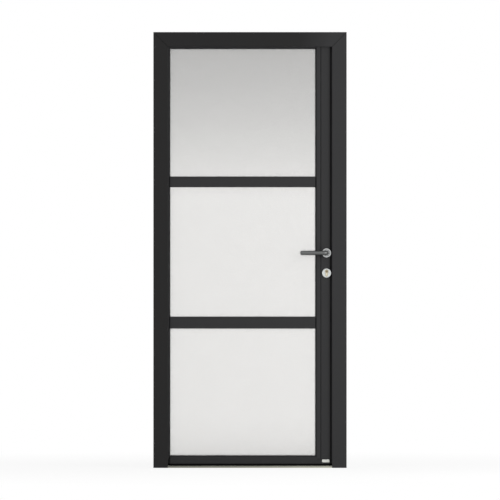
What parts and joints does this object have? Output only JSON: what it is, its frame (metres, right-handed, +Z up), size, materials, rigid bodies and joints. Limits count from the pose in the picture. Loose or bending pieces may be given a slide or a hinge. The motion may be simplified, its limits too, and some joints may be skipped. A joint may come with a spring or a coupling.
{
  "type": "aluminium entrance door",
  "caption": "Glazed aluminium entrance door in its frame, opening inwards on barrel hinges, with frosted glass, glazing bars, lever handle and key-driven bolts.",
  "frame": {"origin": "middle of the threshold's underside, at floor level", "axes": "+X to the right as seen from outside, +Y into the room, +Z up"},
  "size_m": [0.96, 0.165, 2.165],
  "materials": {
    "anthracite_coat": "matt fine-textured powder coat on aluminium",
    "mill_aluminium": "natural anodised aluminium",
    "polyamide": "glass-filled polyamide, black",
    "black_rubber": "matt black rubber",
    "frosted_glass": "acid-etched insulating glass",
    "brushed_stainless": "brushed stainless steel",
    "lock_steel": "zinc-plated steel",
    "brass": "satin brass"
  },
  "bodies": {
    "frame": {"hinge_jamb_outer_shell": "anthracite_coat", "hinge_jamb_inner_shell": "anthracite_coat", "lock_jamb_outer_shell": "anthracite_coat", "lock_jamb_inner_shell": "anthracite_coat", "head_outer_shell": "anthracite_coat", "head_inner_shell": "anthracite_coat", "frame_thermal_strips": "polyamide", "frame_corner_cleats": "mill_aluminium", "frame_seal": "black_rubber", "threshold_outer_sill": "mill_aluminium", "threshold_inner_sill": "mill_aluminium", "threshold_thermal_bar": "polyamide", "main_strike": "brushed_stainless", "bolt_strikes": "brushed_stainless", "hinge_frame_halves": "anthracite_coat", "hinge_pins": "lock_steel"},
    "leaf": {"hinge_stile_outer_shell": "anthracite_coat", "hinge_stile_inner_shell": "anthracite_coat", "lock_stile_outer_shell": "anthracite_coat", "lock_stile_inner_shell": "anthracite_coat", "top_rail_outer_shell": "anthracite_coat", "top_rail_inner_shell": "anthracite_coat", "bottom_rail_outer_shell": "anthracite_coat", "bottom_rail_inner_shell": "anthracite_coat", "leaf_thermal_strips": "polyamide", "leaf_corner_cleats": "mill_aluminium", "outer_pane": "frosted_glass", "inner_pane": "frosted_glass", "pane_spacer": "polyamide", "outer_glazing_gasket": "black_rubber", "inner_glazing_gasket": "black_rubber", "glazing_beads": "anthracite_coat", "setting_blocks": "polyamide", "upper_outer_bar": "anthracite_coat", "lower_outer_bar": "anthracite_coat", "inner_bars": "anthracite_coat", "rebate_seal": "black_rubber", "sweep_seals": "black_rubber", "hinge_leaf_halves": "anthracite_coat", "lock_faceplate": "brushed_stainless", "lock_case": "lock_steel", "end_bolt_cases": "lock_steel", "cylinder_body": "brass", "outer_lever_rose": "brushed_stainless", "inner_lever_rose": "brushed_stainless", "outer_cylinder_rose": "brushed_stainless", "inner_cylinder_rose": "brushed_stainless"},
    "handle": {"outer_lever": "brushed_stainless", "inner_lever": "brushed_stainless", "spindle": "lock_steel", "follower": "lock_steel"},
    "latch": {"latch_bolt": "lock_steel"},
    "key": {"key_plug": "brass", "cylinder_cam": "brass", "thumb_turn": "brushed_stainless"},
    "bolts": {"deadbolt": "lock_steel", "end_bolts": "lock_steel"},
    "rods": {"drive_rods": "lock_steel"}
  },
  "joints": [
    {"name": "leaf_swing", "type": "hinge", "parent": "frame", "child": "leaf", "pos_m": [-0.444, 0.0505, 0], "axis": [0, 0, 1], "range_deg": [0, 110]},
    {"name": "lever_turn", "type": "hinge", "parent": "leaf", "child": "handle", "pos_m": [0.381, 0, 1.068], "axis": [0, -1, 0], "range_deg": [0, 40], "stiffness_Nm_per_rad": 1.2, "springref_deg": -40.11},
    {"name": "latch_slide", "type": "slide", "parent": "leaf", "child": "latch", "axis": [1, 0, 0], "range_m": [-0.012, 0]},
    {"name": "key_turn", "type": "hinge", "parent": "leaf", "child": "key", "pos_m": [0.381, 0, 0.976], "axis": [0, 1, 0], "range_deg": [0, 370]},
    {"name": "bolt_throw", "type": "slide", "parent": "leaf", "child": "bolts", "axis": [1, 0, 0], "range_m": [0, 0.02]},
    {"name": "rod_travel", "type": "slide", "parent": "leaf", "child": "rods", "axis": [0, 0, 1], "range_m": [0, 0.02]}
  ],
  "couplings": [
    {"joint": "latch_slide", "follows": "lever_turn", "m_per_rad": -0.017189},
    {"joint": "key_turn", "follows": "bolt_throw", "rad_per_m": 314.16},
    {"joint": "rod_travel", "follows": "bolt_throw", "ratio": 0.9}
  ]
}
